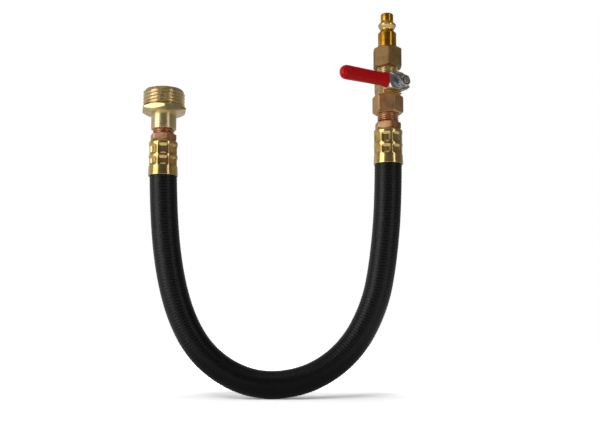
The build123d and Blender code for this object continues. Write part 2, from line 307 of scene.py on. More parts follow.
def hoseTree(material):
    # a tube along the curve with fine cross ribs, as a cloth-wrapped cover has
    tree = bpy.data.node_groups.new("wrappedHose", "GeometryNodeTree")
    face = tree.interface
    face.new_socket("Geometry", in_out="INPUT", socket_type="NodeSocketGeometry")
    for name, value in (
        ("Hose Radius", hoseLook["radius"] * mm),
        ("Step", hoseLook["stepM"]),
        ("Rib Spacing", hoseLook["ribSpacing"] * mm),
        ("Rib Depth", hoseLook["ribDepth"] * mm),
        ("Lump Depth", hoseLook["lumpDepth"] * mm),
        ("Threads Around", hoseLook["threadsAround"]),
        ("Thread Share", hoseLook["threadShare"]),
        ("Crimp Reach", hoseLook["crimpReach"] * mm),
        ("Crimp Squeeze", hoseLook["crimpSqueeze"] * mm),
    ):
        face.new_socket(name, in_out="INPUT", socket_type="NodeSocketFloat").default_value = value
    facets = face.new_socket("Facets", in_out="INPUT", socket_type="NodeSocketInt")
    facets.default_value = hoseLook["facets"]
    face.new_socket("Geometry", in_out="OUTPUT", socket_type="NodeSocketGeometry")
    given = addNode(tree, "NodeGroupInput").outputs

    # the tube, which remembers how far along and how far round each point is
    even = addNode(tree, "GeometryNodeResampleCurve", {"mode": "LENGTH"},
                   {"Curve": given["Geometry"], "Length": given["Step"]})
    along = addNode(tree, "GeometryNodeSplineParameter").outputs["Length"]
    marked = addNode(tree, "GeometryNodeStoreNamedAttribute",
                     {"data_type": "FLOAT", "domain": "POINT", "Name": "along"},
                     {"Geometry": even, "Value": along})
    ring = addNode(tree, "GeometryNodeCurvePrimitiveCircle",
                   links={"Resolution": given["Facets"], "Radius": given["Hose Radius"]})
    around = addNode(tree, "GeometryNodeSplineParameter").outputs["Factor"]
    ringMarked = addNode(tree, "GeometryNodeStoreNamedAttribute",
                         {"data_type": "FLOAT", "domain": "POINT", "Name": "around"},
                         {"Geometry": ring, "Value": around})
    tubeMesh = addNode(tree, "GeometryNodeCurveToMesh", {"Fill Caps": True},
                       {"Curve": marked, "Profile Curve": ringMarked})

    # ribs across, broken up by the cloth's threads, and a little unevenness
    alongRead = addNode(tree, "GeometryNodeInputNamedAttribute",
                        {"data_type": "FLOAT", "Name": "along"})
    turns = addNode(tree, "ShaderNodeMath", {"operation": "DIVIDE"},
                    {0: alongRead, 1: given["Rib Spacing"]})
    phase = addNode(tree, "ShaderNodeMath", {"operation": "MULTIPLY", 1: 2 * math.pi}, {0: turns})
    wave = addNode(tree, "ShaderNodeMath", {"operation": "SINE"}, {0: phase})
    aroundRead = addNode(tree, "GeometryNodeInputNamedAttribute",
                         {"data_type": "FLOAT", "Name": "around"})
    threads = addNode(tree, "ShaderNodeMath", {"operation": "MULTIPLY"},
                      {0: aroundRead, 1: given["Threads Around"]})
    threadPhase = addNode(tree, "ShaderNodeMath", {"operation": "MULTIPLY", 1: 2 * math.pi},
                          {0: threads})
    threadWave = addNode(tree, "ShaderNodeMath", {"operation": "SINE"}, {0: threadPhase})
    share = given["Thread Share"]
    plain = addNode(tree, "ShaderNodeMath", {"operation": "SUBTRACT", 0: 1.0}, {1: share})
    broken = addNode(tree, "ShaderNodeMath", {"operation": "MULTIPLY_ADD"},
                     {0: threadWave, 1: share, 2: plain})
    weave = addNode(tree, "ShaderNodeMath", {"operation": "MULTIPLY"}, {0: wave, 1: broken})
    rib = addNode(tree, "ShaderNodeMath", {"operation": "MULTIPLY"},
                  {0: weave, 1: given["Rib Depth"]})
    unevenness = addNode(tree, "ShaderNodeTexNoise",
                         {"Scale": 1 / (hoseLook["lumpSize"] * mm), "Detail": 2.0})
    centred = addNode(tree, "ShaderNodeMath", {"operation": "SUBTRACT", 1: 0.5}, {0: unevenness})
    lump = addNode(tree, "ShaderNodeMath", {"operation": "MULTIPLY"},
                   {0: centred, 1: given["Lump Depth"]})
    texture = addNode(tree, "ShaderNodeMath", {"operation": "ADD"}, {0: rib, 1: lump})

    # the crimped ends are squeezed thinner inside the ferrules
    whole = addNode(tree, "GeometryNodeCurveLength", links={"Curve": given["Geometry"]})
    left = addNode(tree, "ShaderNodeMath", {"operation": "SUBTRACT"}, {0: whole, 1: alongRead})
    toEnd = addNode(tree, "ShaderNodeMath", {"operation": "MINIMUM"}, {0: left, 1: alongRead})
    inside = addNode(tree, "ShaderNodeMath", {"operation": "LESS_THAN"},
                     {0: toEnd, 1: given["Crimp Reach"]})
    squeeze = addNode(tree, "ShaderNodeMath", {"operation": "MULTIPLY"},
                      {0: inside, 1: given["Crimp Squeeze"]})
    lift = addNode(tree, "ShaderNodeMath", {"operation": "SUBTRACT"}, {0: texture, 1: squeeze})
    outward = addNode(tree, "GeometryNodeInputNormal")
    offset = addNode(tree, "ShaderNodeVectorMath", {"operation": "SCALE"},
                     {0: outward, "Scale": lift})
    shaped = addNode(tree, "GeometryNodeSetPosition",
                     links={"Geometry": tubeMesh, "Offset": offset})
    real = addNode(tree, "GeometryNodeRealizeInstances", links={"Geometry": shaped})
    dressed = addNode(tree, "GeometryNodeSetMaterial", {"Material": material}, {"Geometry": real})
    addNode(tree, "NodeGroupOutput", links={0: dressed})
    return tree


def rubberMaterial():
    # black EPDM cover vulcanised under a cloth wrap: satin, fine grain; the mesh has the weave
    material, tree = newMaterial("blackRubberClothWrapped")
    place = addNode(tree, "ShaderNodeTexCoord").outputs["Object"]
    grain = addNode(tree, "ShaderNodeTexNoise",
                    {"Scale": 1 / (0.9 * mm), "Detail": 3.0, "Roughness": 0.6}, {"Vector": place})
    cloud = addNode(tree, "ShaderNodeTexNoise", {"Scale": 1 / (16.7 * mm), "Detail": 3.0},
                    {"Vector": place})
    colour = addNode(tree, "ShaderNodeValToRGB", {"stops": ((0.3, "#030303"), (0.7, "#070708"))},
                     {"Fac": cloud})
    rough = addNode(tree, "ShaderNodeValToRGB", {"stops": ((0.35, 0.28), (0.65, 0.42))},
                    {"Fac": grain})
    bump = addNode(tree, "ShaderNodeBump", {"Strength": 0.5, "Distance": 0.2 * mm},
                   {"Height": grain})
    shader = addNode(tree, "ShaderNodeBsdfPrincipled", {"IOR": 1.39},
                     {"Base Color": colour, "Roughness": rough})
    finishSurface(tree, shader, bump)
    return material


def evaluatedMesh(piece):
    depsgraph = bpy.context.evaluated_depsgraph_get()
    return bpy.data.meshes.new_from_object(piece.evaluated_get(depsgraph))


def makeHose():
    material = rubberMaterial()
    curve = hoseCurve()
    centreline = [v.co.copy() for v in evaluatedMesh(curve).vertices]
    modifier = curve.modifiers.new("wrappedHose", "NODES")
    modifier.node_group = hoseTree(material)
    mesh = evaluatedMesh(curve)
    for polygon in mesh.polygons:
        polygon.use_smooth = len(polygon.vertices) == 4
    piece = addObject("hose", mesh)
    bpy.data.objects.remove(curve)
    placed(piece, fixedBody, "hose_rubber", material, "hose_cover", "hose_braid", "hose_liner")
    print("hose ready", len(mesh.polygons), "faces")


makeHose()


# brass finishes
def turnedBrass(name, light, dark, ringMm=0.35, ringStrength=0.25, roughness=(0.16, 0.30)):
    # free-cutting brass off the lathe: fine rings round the axis spread each highlight along it
    material, tree = newMaterial(name)
    place = addNode(tree, "ShaderNodeTexCoord").outputs["Object"]
    flat = addNode(tree, "ShaderNodeMapping", {"Scale": (2.0, 2.0, 1 / (ringMm * mm))},
                   {"Vector": place})
    rings = addNode(tree, "ShaderNodeTexNoise", {"Scale": 1.0, "Detail": 3.0}, {"Vector": flat})
    cloud = addNode(tree, "ShaderNodeTexNoise",
                    {"Scale": 1 / (5.9 * mm), "Detail": 4.0, "Roughness": 0.6}, {"Vector": place})
    colour = addNode(tree, "ShaderNodeValToRGB", {"stops": ((0.32, dark), (0.62, light))},
                     {"Fac": cloud})
    both = addNode(tree, "ShaderNodeMath", {"operation": "ADD"}, {0: rings, 1: cloud})
    half = addNode(tree, "ShaderNodeMath", {"operation": "MULTIPLY", 1: 0.5}, {0: both})
    rough = addNode(tree, "ShaderNodeValToRGB",
                    {"stops": ((0.3, roughness[0]), (0.7, roughness[1]))}, {"Fac": half})
    bump = addNode(tree, "ShaderNodeBump", {"Strength": ringStrength, "Distance": 0.02 * mm},
                   {"Height": rings})
    shader = addNode(tree, "ShaderNodeBsdfPrincipled", {"Metallic": 1.0},
                     {"Base Color": colour, "Roughness": rough})
    finishSurface(tree, shader, bump)
    return material


def castBrass():
    # sand-cast and shot-blasted brass: pale, pitted and matt, with no lathe rings
    material, tree = newMaterial("castBrassBlasted")
    place = addNode(tree, "ShaderNodeTexCoord").outputs["Object"]
    grit = addNode(tree, "ShaderNodeTexNoise",
                   {"Scale": 1 / (0.67 * mm), "Detail": 3.0, "Roughness": 0.7}, {"Vector": place})
    cloud = addNode(tree, "ShaderNodeTexNoise", {"Scale": 1 / (2.4 * mm), "Detail": 3.0},
                    {"Vector": place})
    colour = addNode(tree, "ShaderNodeValToRGB", {"stops": ((0.3, "#B9A06E"), (0.7, "#D8C795"))},
                     {"Fac": cloud})
    bump = addNode(tree, "ShaderNodeBump", {"Strength": 0.6, "Distance": 0.12 * mm},
                   {"Height": grit})
    shader = addNode(tree, "ShaderNodeBsdfPrincipled", {"Metallic": 0.9, "Roughness": 0.5},
                     {"Base Color": colour})
    finishSurface(tree, shader, bump)
    return material


adapterBrass = turnedBrass("turnedYellowBrass", "#EBD9AC", "#DAC08A", roughness=(0.24, 0.36))
insertBrass = turnedBrass("turnedRedBrass", "#DBAC84", "#BC855A", roughness=(0.28, 0.42))
capBrass = turnedBrass("hexBarRedBrass", "#E0B382", "#C69362",
                       ringMm=1.2, ringStrength=0.15, roughness=(0.32, 0.46))
plugBrass = turnedBrass("turnedGoldBrass", "#E2A83C", "#C98A22",
                        ringMm=0.25, roughness=(0.16, 0.28))
# the plug hexagon's darker colour is painted shade, for the dimmer reflection in its facets; its
# higher roughness is its own duller finish
plugHexPaintedShadeBrass = turnedBrass("hexBarBrassPaintedShade", "#A48559", "#8A6C44",
                           ringMm=1.5, ringStrength=0.12, roughness=(0.46, 0.6))
ferruleBrass = turnedBrass("drawnBrassPolished", "#EBCD8C", "#D4AE62",
                           ringMm=0.8, ringStrength=0.1, roughness=(0.14, 0.24))
bodyBrass = castBrass()
print("brass ready")


# garden-hose thread adapter
adapter = {
    "major": 13.4, "depth": 1.2, "pitch": 25.4 / 11.5, "length": 11.2,
    "flangeFlats": 27.2, "flangeThick": 4.4, "flangeTurn": 12.7, "chamferBelow": 12.2,
    "chamferAbove": 13.2, "neck": 8.1, "neckLength": 10.5, "socket": 6.85, "socketDepth": 11,
    "throat": 5.5, "mouth": 9.6, "mouthFloor": 1.6,
}


def makeAdapter():
    a = adapter
    under = -a["flangeThick"]
    low = under - a["neckLength"]
    root = a["major"] - a["depth"]
    outside = rounded([
        (a["socket"], low + 0.3), (a["socket"] + 0.3, low),
        (a["neck"], low, 0.45), (a["neck"], under, 0.3),
    ])
    outside += hexRows(a["flangeFlats"], a["flangeTurn"], under, 0,
                       a["chamferBelow"], a["chamferAbove"])
    outside += [(root, 0.02)]
    outside += threadRows(a["major"], a["depth"], a["pitch"], 0.5, a["length"] - 0.5,
                          fadeLow=0.3, fadeHigh=1.5)
    inside = rounded([
        (root - 0.1, a["length"], 0.25), (a["mouth"], a["length"], 0.3),
        (a["mouth"], a["mouthFloor"], 0.2), (a["throat"], a["mouthFloor"], 0.2),
        (a["throat"], low + a["socketDepth"]), (a["socket"], low + a["socketDepth"]),
    ])
    piece = rowSolid("waterAdapter", outside + inside, waterAxis)
    placed(piece, fixedBody, "brass_bright", adapterBrass, "water_adapter")


makeAdapter()
print("adapter ready")


# hose inserts
insert = {
    "flats": 15.2, "height": 4.9, "chamferBelow": 7.4, "chamferAbove": 7.25,
    "pipe": 6.85, "depth": 0.78, "pitch": 25.4 / 18, "length": 13.0,
    "neck": 5.6, "neckHeight": 0.88, "barb": 4.74, "barbDepth": 0.5, "barbs": 5, "barbPitch": 3.6,
    "barbRise": 0.8, "tipInset": 0.6, "tipHeight": 1.5, "bore": 2.9,
}


def makeInsert(name, node, centre, turn):
    n = insert
    top = levelOf(node, 1)
    hexHigh = top - n["length"]
    hexLow = hexHigh - n["height"]
    tail = levelOf(node, 0)
    root = n["pipe"] - n["depth"]
    outside = [(n["bore"], tail), (n["barb"] - n["tipInset"], tail)]
    outside += [(n["barb"], tail + n["tipHeight"])]
    for barb in range(n["barbs"]):
        foot = tail + n["tipHeight"] + barb * n["barbPitch"]
        outside += [(n["barb"], foot + n["barbRise"])]
        outside += [(n["barb"] - n["barbDepth"], foot + n["barbRise"] + 0.05)]
        outside += [(n["barb"], foot + n["barbPitch"])]
    outside += [(n["neck"], hexLow - n["neckHeight"])]
    outside += hexRows(n["flats"], turn, hexLow, hexHigh, n["chamferBelow"], n["chamferAbove"])
    outside += [(root, hexHigh + 0.02)]
    outside += threadRows(n["pipe"], n["depth"], n["pitch"], hexHigh + 0.4, top - 0.2, fadeLow=0.5)
    outside += [(root, top), (n["bore"], top)]
    piece = rowSolid(name, outside, centre)
    placed(piece, fixedBody, "brass_matte", insertBrass, node)


makeInsert("waterInsert", "water_insert", waterAxis, 21.5)
makeInsert("airInsert", "air_insert", airAxis, 8)
print("inserts ready")


# crimped ferrules
ferrule = {
    "radius": 9.3, "flare": 0.22, "flareLength": 6, "endWall": 0.9, "endBore": 5.6, "bore": 8.8,
    "crimpBore": 8.1, "crimpStart": 5, "mouthDepth": 3.5, "jaws": 8, "depth": 0.66,
    "padFlat": 0.3, "padEnd": 0.98, "ridge": 0.1, "ridgeStart": 0.7,
    "rows": ((2.4, 9.9), (10.5, 17.0)), "soft": 2.1, "wallRows": 110,
}


def makeFerrule(name, node, centre, turn):
    f = ferrule
    low, high = levelOf(node, 0), levelOf(node, 1)
    length = high - low

    def crimped(down):
        def row(angle):
            # jaws press shallow hollow pads, and the brass between them is squeezed into ridges
            r = f["radius"] + f["flare"] * smoothStep(length - f["flareLength"], length, down)
            sector = ((math.degrees(angle) - turn) / 360 * f["jaws"]) % 1
            fromMiddle = min(sector, 1 - sector) * 2
            pad = 1 - smoothStep(f["padFlat"], f["padEnd"], fromMiddle)
            ridge = smoothStep(f["ridgeStart"], 1, fromMiddle)
            pressed = 0
            for start, end in f["rows"]:
                inRow = smoothStep(start, start + f["soft"], down)
                inRow *= 1 - smoothStep(end - f["soft"], end, down)
                pressed = max(pressed, inRow)
            r -= pressed * (f["depth"] * pad - f["ridge"] * ridge)
            return r, high - down
        return row
    shoulder = ((1.3, 0), (0.8, 0.1), (0.38, 0.4), (0.1, 0.85))
    rows = [(f["endBore"], high)]
    rows += [(f["radius"] - inset, high - down) for inset, down in shoulder]
    rows += [crimped(1.3 + (length - 1.42) * i / f["wallRows"]) for i in range(f["wallRows"] + 1)]
    lip = f["radius"] + f["flare"]
    rows += [(lip - 0.04, low + 0.03), (lip - 0.16, low)]
    rows += [(f["bore"] + 0.12, low), (f["bore"], low + 0.12), (f["bore"], low + f["mouthDepth"])]
    rows += [(f["crimpBore"], low + f["crimpStart"]), (f["crimpBore"], high - f["endWall"])]
    rows += [(f["endBore"], high - f["endWall"])]
    piece = rowSolid(name, rows, centre)
    placed(piece, fixedBody, "brass_polished", ferruleBrass, node)


makeFerrule("waterFerrule", "water_ferrule", waterAxis, 8)
makeFerrule("airFerrule", "air_ferrule", airAxis, -13)
print("ferrules ready")


# ball valve
valve = {
    "capFlats": 17.7, "capTurn": 19.0, "capChamfer": 8.25, "capEdge": 0.14, "capSpigot": 7.0,
    "capSpigotHeight": 2.0, "capRecess": 5.35, "socket": 6.85, "socketDepth": 8.5, "seatDrop": 5.4,
    "barrel": 8.6, "barrelHeight": 13.5, "barrelSides": 144, "sides": 14.0,
    "boss": 7.15, "bossFace": 13.4, "stopInner": 5.75, "stopOuter": 7.05, "stopHalfWidth": 0.55,
    "stopHeight": 1.7, "stopAngle": 69, "voxel": 0.22, "gritSize": 0.55, "gritDepth": 0.035,
    "pipe": 6.85, "depth": 0.78, "pitch": 25.4 / 18, "pipeLength": 13.0, "port": 2.9,
    "ring": 8.3, "ringHeight": 2.3, "stemTurn": 31,
}
capTop = levelOf("valve_end_cap", 1)
capHigh = capTop - valve["capSpigotHeight"]
barrelHigh = capHigh + valve["barrelHeight"]


def makeEndCap():
    v = valve
    low = levelOf("valve_end_cap", 0)
    seatBed = stemPoint.z / mm - v["seatDrop"]
    bottom = low + v["socketDepth"]
    rows = [(v["socket"], low + 0.4), (v["socket"] + 0.4, low)]
    rows += hexRows(v["capFlats"], v["capTurn"], low, capHigh, v["capChamfer"], v["capChamfer"],
                    edge=v["capEdge"])
    rows += [(v["capSpigot"], capHigh + 0.02), (v["capSpigot"], capTop)]
    rows += [(v["capRecess"], capTop), (v["capRecess"], seatBed), (v["port"], seatBed)]
    rows += [(v["port"], bottom), (v["socket"], bottom)]
    piece = rowSolid("valveEndCap", rows, airAxis)
    placed(piece, fixedBody, "brass_matte", capBrass, "valve_end_cap")


def stemFrame():
    # x along the closed lever, y down, z out along the stem
    side = Vector((0, 0, -1)).cross(stemAxis).normalized()
    down = stemAxis.cross(side)
    turn = Matrix((side, down, stemAxis)).transposed().to_4x4()
    return Matrix.Translation(stemPoint) @ turn


def addPrism(shell, matrix, outline, low, high):
    # a straight-sided block from an outline of (x, y) in mm
    ends = []
    for height in (low, high):
        ends.append([shell.verts.new(matrix @ (Vector((x, y, height)) * mm)) for x, y in outline])
    shell.faces.new(list(reversed(ends[0])))
    shell.faces.new(ends[1])
    joinRings(shell, *ends)


def circlePoints(radius, count=96):
    angles = [2 * math.pi * i / count for i in range(count)]
    return [(radius * math.cos(angle), radius * math.sin(angle)) for angle in angles]


def blockPoints(low, high):
    return [(low[0], low[1]), (high[0], low[1]), (high[0], high[1]), (low[0], high[1])]


def shapeObject(name, build):
    mesh = bpy.data.meshes.new(name)
    shell = bmesh.new()
    build(shell)
    bmesh.ops.recalc_face_normals(shell, faces=shell.faces)
    shell.to_mesh(mesh)
    shell.free()
    return addObject(name, mesh)


def combine(base, other, operation):
    cut = base.modifiers.new("cut", "BOOLEAN")
    cut.object = other
    cut.operation = operation
    cut.solver = "EXACT"
    mesh = evaluatedMesh(base)
    base.modifiers.clear()
    base.data = mesh
    bpy.data.objects.remove(other)


def makeValveBody():
    v = valve
    upright = Matrix.Translation(airAxis)
    out = stemFrame()
    halfSide = v["sides"] / 2

    def barrelOutline():
        # a circle with the two cast flats beside the stem
        points = []
        for i in range(v["barrelSides"]):
            angle = 2 * math.pi * i / v["barrelSides"]
            along = v["barrel"] * math.sin(angle)
            across = max(-halfSide, min(halfSide, v["barrel"] * math.cos(angle)))
            points.append((across, along))
        return points
    side = Vector((out[0][0], out[1][0], 0))
    across = Matrix.Rotation(math.atan2(side.y, side.x), 4, "Z")

    def shapes(shell):
        # overlapping closed blocks, which the remesh joins into one skin
        addPrism(shell, upright @ across, barrelOutline(), capHigh, barrelHigh)
        addPrism(shell, out, circlePoints(v["boss"]), 0, v["bossFace"])
        half = v["stopHalfWidth"]
        for angle in (-v["stopAngle"], 90 + v["stopAngle"]):
            turned = out @ Matrix.Rotation(math.radians(angle), 4, "Z")
            outline = blockPoints((v["stopInner"], -half), (v["stopOuter"], half))
            addPrism(shell, turned, outline, v["bossFace"] - 0.5, v["bossFace"] + v["stopHeight"])
    body = shapeObject("valveBody", shapes)
    remesh = body.modifiers.new("remesh", "REMESH")
    remesh.mode = "VOXEL"
    remesh.voxel_size = v["voxel"] * mm
    remesh.use_smooth_shade = True
    soften = body.modifiers.new("soften", "CORRECTIVE_SMOOTH")
    soften.factor = 0.5
    soften.iterations = 3
    soften.use_only_smooth = True
    mesh = evaluatedMesh(body)
    body.modifiers.clear()
    body.data = mesh
    for polygon in mesh.polygons:
        polygon.use_smooth = True
    outwards = [vertex.normal.copy() for vertex in mesh.vertices]
    for vertex, outward in zip(mesh.vertices, outwards):
        grit = noise.noise(vertex.co / (v["gritSize"] * mm))
        vertex.co += outward * grit * v["gritDepth"] * mm
    reach = 20
    trim = [(v["ring"], -1), (reach, -1), (reach, v["ringHeight"]), (v["ring"], v["ringHeight"])]
    combine(body, rowSolid("trim", [(r, capHigh + z) for r, z in trim], airAxis), "DIFFERENCE")
    placed(body, fixedBody, "brass_cast", bodyBrass, "valve_body")

    # the lathe-faced band over the end cap, interrupted where the casting is flat-sided
    wide = v["ring"] + 0.05
    groove = wide - 0.3
    core = 6
    band = rounded([
        (core, 0.04), (wide, 0.04, 0.3), (wide, 0.95, 0.1), (groove, 1.05, 0.05),
        (groove, 1.3, 0.05), (wide, 1.4, 0.1), (wide, v["ringHeight"], 0.15),
        (core, v["ringHeight"]),
    ])

    def bandRow(radius, height):
        def row(angle):
            fromFlat = abs(math.cos(angle - math.radians(v["stemTurn"]) + math.pi / 2))
            return min(radius, (halfSide - 0.02) / max(0.01, fromFlat)), capHigh + height
        return row
    lowRing = rowSolid("valveBodyTurnedBand", [bandRow(r, z) for r, z in band], airAxis)
    placed(lowRing, fixedBody, "brass_turned", plugBrass)

    # the pipe thread at the top
    root = v["pipe"] - v["depth"]
    foot = barrelHigh - 0.6
    high = barrelHigh + v["pipeLength"]
    rows = [(v["port"], foot), (root, foot)]
    rows += threadRows(v["pipe"], v["depth"], v["pitch"], barrelHigh + 0.4, high - 0.2)
    rows += [(root, high), (v["port"], high)]
    placed(rowSolid("valveBodyThread", rows, airAxis), fixedBody, "brass_turned", adapterBrass)


makeEndCap()
makeValveBody()
print("valve ready")


# lever, grip, washer and nut
leverShape = {
    "inner": 13.5, "thick": 1.9, "height": 10.1, "tail": 5.4, "tailSteps": 20,
    "joggle": 0.9, "joggleStart": 7.4, "joggleEnd": 9.6, "narrowFrom": 11.0, "narrow": 6.3,
    "length": 43.0, "holeRadius": 2.78, "holeHalfFlats": 2.02, "edge": 0.28,
}
grip = {
    "start": 10.2, "end": 46.0, "height": 8.5, "thick": 5.8, "endSwell": 0.35, "swellEnd": 6,
    "rootHeight": 9.6, "rootFrom": 0.8, "rootTo": 5.5, "capThickness": 2.4, "squareness": 0.74,
    "rim": ((0.0, 0.80), (0.12, 0.93), (0.4, 1.0)), "steps": 70, "around": 48,
}
nut = {
    "flats": 7.0, "thick": 3.4, "turn": 20, "chamferBelow": 3.2, "chamferAbove": 3.0,
    "bore": 2.04, "washer": 0.9, "washerRadius": 3.6, "washerBore": 2.1,
}


def leverOutline():
    shape = leverShape
    half = shape["height"] / 2
    openAngle = math.asin(half / shape["tail"])
    points = []
    for i in range(shape["tailSteps"] + 1):
        angle = openAngle + (2 * math.pi - 2 * openAngle) * i / shape["tailSteps"]
        x = shape["tail"] * math.cos(angle)
        y = shape["tail"] * math.sin(angle)
        if x <= 0 or abs(y) < half:
            points.append((x, max(-half, min(half, y))))
    # points along both sides, close together where the joggle bends them
    along = [0.6, 3, 5, 7, 7.8, 8.6, 9.4, 10.2]
    narrow = shape["narrow"] / 2
    lower = [(x, -half) for x in along]
    lower += [(shape["narrowFrom"], -narrow), (shape["length"], -narrow)]
    upper = [(x, -y) for x, y in reversed(lower)]
    return [p for p in points if p[0] <= 0.2] + lower + upper


def zincPlate():
    # bright zinc on pressed steel: cool grey, mirror-like where rolled, clouded and slightly pitted
    material, tree = newMaterial("zincPlatedSteel")
    place = addNode(tree, "ShaderNodeTexCoord").outputs["Object"]
    cloud = addNode(tree, "ShaderNodeTexNoise",
                    {"Scale": 1 / (3.1 * mm), "Detail": 5.0, "Roughness": 0.65}, {"Vector": place})
    grain = addNode(tree, "ShaderNodeTexNoise", {"Scale": 1 / (0.71 * mm), "Detail": 2.0},
                    {"Vector": place})
    colour = addNode(tree, "ShaderNodeValToRGB", {"stops": ((0.3, "#9DA1A0"), (0.7, "#E4E6E3"))},
                     {"Fac": cloud})
    rough = addNode(tree, "ShaderNodeValToRGB", {"stops": ((0.3, 0.26), (0.7, 0.14))},
                    {"Fac": cloud})
    bump = addNode(tree, "ShaderNodeBump", {"Strength": 0.25, "Distance": 0.06 * mm},
                   {"Height": grain})
    shader = addNode(tree, "ShaderNodeBsdfPrincipled", {"Metallic": 1.0},
                     {"Base Color": colour, "Roughness": rough})
    finishSurface(tree, shader, bump)
    return material


def vinylRed():
    # plastisol dip: saturated red with a soft gloss and a faintly uneven skin
    material, tree = newMaterial("dippedVinylRed")
    place = addNode(tree, "ShaderNodeTexCoord").outputs["Object"]
    cloud = addNode(tree, "ShaderNodeTexNoise", {"Scale": 1 / (7.1 * mm), "Detail": 2.0},
                    {"Vector": place})
    colour = addNode(tree, "ShaderNodeValToRGB", {"stops": ((0.3, "#EC0101"), (0.7, "#FC0204"))},
                     {"Fac": cloud})
    bump = addNode(tree, "ShaderNodeBump", {"Strength": 0.12, "Distance": 0.4 * mm},
                   {"Height": cloud})
    shader = addNode(tree, "ShaderNodeBsdfPrincipled",
                     {"Roughness": 0.34, "IOR": 1.34, "Coat Weight": 0.06, "Coat Roughness": 0.1},
                     {"Base Color": colour})
    finishSurface(tree, shader, bump)
    return material


def makeLever():
    shape = leverShape
    low, high = shape["inner"], shape["inner"] + shape["thick"]
    still = Matrix.Identity(4)
    strip = shapeObject("leverStrip", lambda s: addPrism(s, still, leverOutline(), low, high))
    flat = shape["holeHalfFlats"]
    holeSides = [(x, max(-flat, min(flat, y))) for x, y in circlePoints(shape["holeRadius"], 48)]
    hole = shapeObject("hole", lambda s: addPrism(s, still, holeSides, 10, 20))
    combine(strip, hole, "DIFFERENCE")
    bevel = strip.modifiers.new("edge", "BEVEL")
    bevel.width = shape["edge"] * mm
    bevel.segments = 3
    bevel.limit_method = "ANGLE"
    bevel.angle_limit = math.radians(50)
    strip.data = evaluatedMesh(strip)
    strip.modifiers.clear()
    for vertex in strip.data.vertices:
        bent = smoothStep(shape["joggleStart"], shape["joggleEnd"], vertex.co.x / mm)
        vertex.co.z -= shape["joggle"] * mm * bent
    strip.data.transform(stemFrame())
    shell = bmesh.new()
    shell.from_mesh(strip.data)
    markSharp(shell, 32)
    shell.to_mesh(strip.data)
    shell.free()
    placed(strip, turningBody, "zinc_plate", zincPlate(), "lever")


def roundOff(toEnd, radius):
    # how much of the full size is left at a distance from a round end
    return math.sqrt(max(0, 1 - (1 - min(1, toEnd / radius)) ** 2))


def makeGrip():
    g = grip
    out = stemFrame()
    middle = leverShape["inner"] + leverShape["thick"] / 2 - leverShape["joggle"]
    mesh = bpy.data.meshes.new("leverGrip")
    shell = bmesh.new()
    rings = []
    length = g["end"] - g["start"]
    rimEnd = g["rim"][-1][0]
    stations = list(g["rim"])
    stations += [(rimEnd + (length - rimEnd) * i / g["steps"], 1.0)
                 for i in range(1, g["steps"] + 1)]
    for along, size in stations:
        root = 1 - smoothStep(g["rootFrom"], g["rootTo"], along)
        swell = smoothStep(length * 0.4, length - g["swellEnd"], along)
        height = g["height"] + (g["rootHeight"] - g["height"]) * root + g["endSwell"] * swell
        tall = height / 2 * roundOff(length - along, g["height"] / 2 + 0.1) * size
        deep = g["thick"] / 2 * roundOff(length - along, g["capThickness"]) * size
        ring = []
        for i in range(g["around"]):
            angle = 2 * math.pi * i / g["around"]
            cosine, sine = math.cos(angle), math.sin(angle)
            y = math.copysign(abs(cosine) ** g["squareness"], cosine) * tall
            z = math.copysign(abs(sine) ** g["squareness"], sine) * deep
            ring.append(shell.verts.new(out @ (Vector((g["start"] + along, y, middle + z)) * mm)))
        rings.append(ring)
    for near, far in zip(rings, rings[1:]):
        joinRings(shell, near, far)
    shell.faces.new(rings[0])
    piece = finishMesh("leverGrip", mesh, shell, sharpAngle=70)
    placed(piece, turningBody, "grip_vinyl", vinylRed(), "lever_grip")


def makeNut():
    n = nut
    washerLow = leverShape["inner"] + leverShape["thick"]
    nutLow = washerLow + n["washer"]
    nutHigh = nutLow + n["thick"]
    zinc = bpy.data.materials["zincPlatedSteel"]
    washer = rounded([
        (n["washerBore"], washerLow + 0.02), (n["washerRadius"], washerLow + 0.02, 0.15),
        (n["washerRadius"], nutLow, 0.15), (n["washerBore"], nutLow),
    ])
    ring = rowSolid("lockWasher", washer, Vector())
    rows = hexRows(n["flats"], n["turn"], nutLow, nutHigh, n["chamferBelow"], n["chamferAbove"])
    rows += [(2.5, nutHigh), (2.15, nutHigh - 0.3), (n["bore"], nutHigh - 0.4)]
    rows += [(n["bore"], nutLow + 0.3), (2.3, nutLow)]
    hexNut = rowSolid("lockNut", rows, Vector())
    for piece, node in ((ring, "lock_washer"), (hexNut, "lock_nut")):
        piece.data.transform(stemFrame())
        placed(piece, turningBody, "zinc_plate", zinc, node)


makeLever()
makeGrip()
makeNut()
print("lever ready")


# air plug
plug = {
    "flats": 17.5, "turn": 0, "hexHeight": 13.8, "chamferBelow": 8.15, "chamferAbove": 7.6,
    "hexEdge": 0.14, "body": 6.0, "bodyHeight": 10.9, "waist": 4.35, "collar": 5.85,
    "collarRise": 4.5, "nose": 4.15, "noseRise": 2.3, "noseStep": 0.25,
    "socket": 6.85, "socketDepth": 10.5, "bore": 2.9,
}


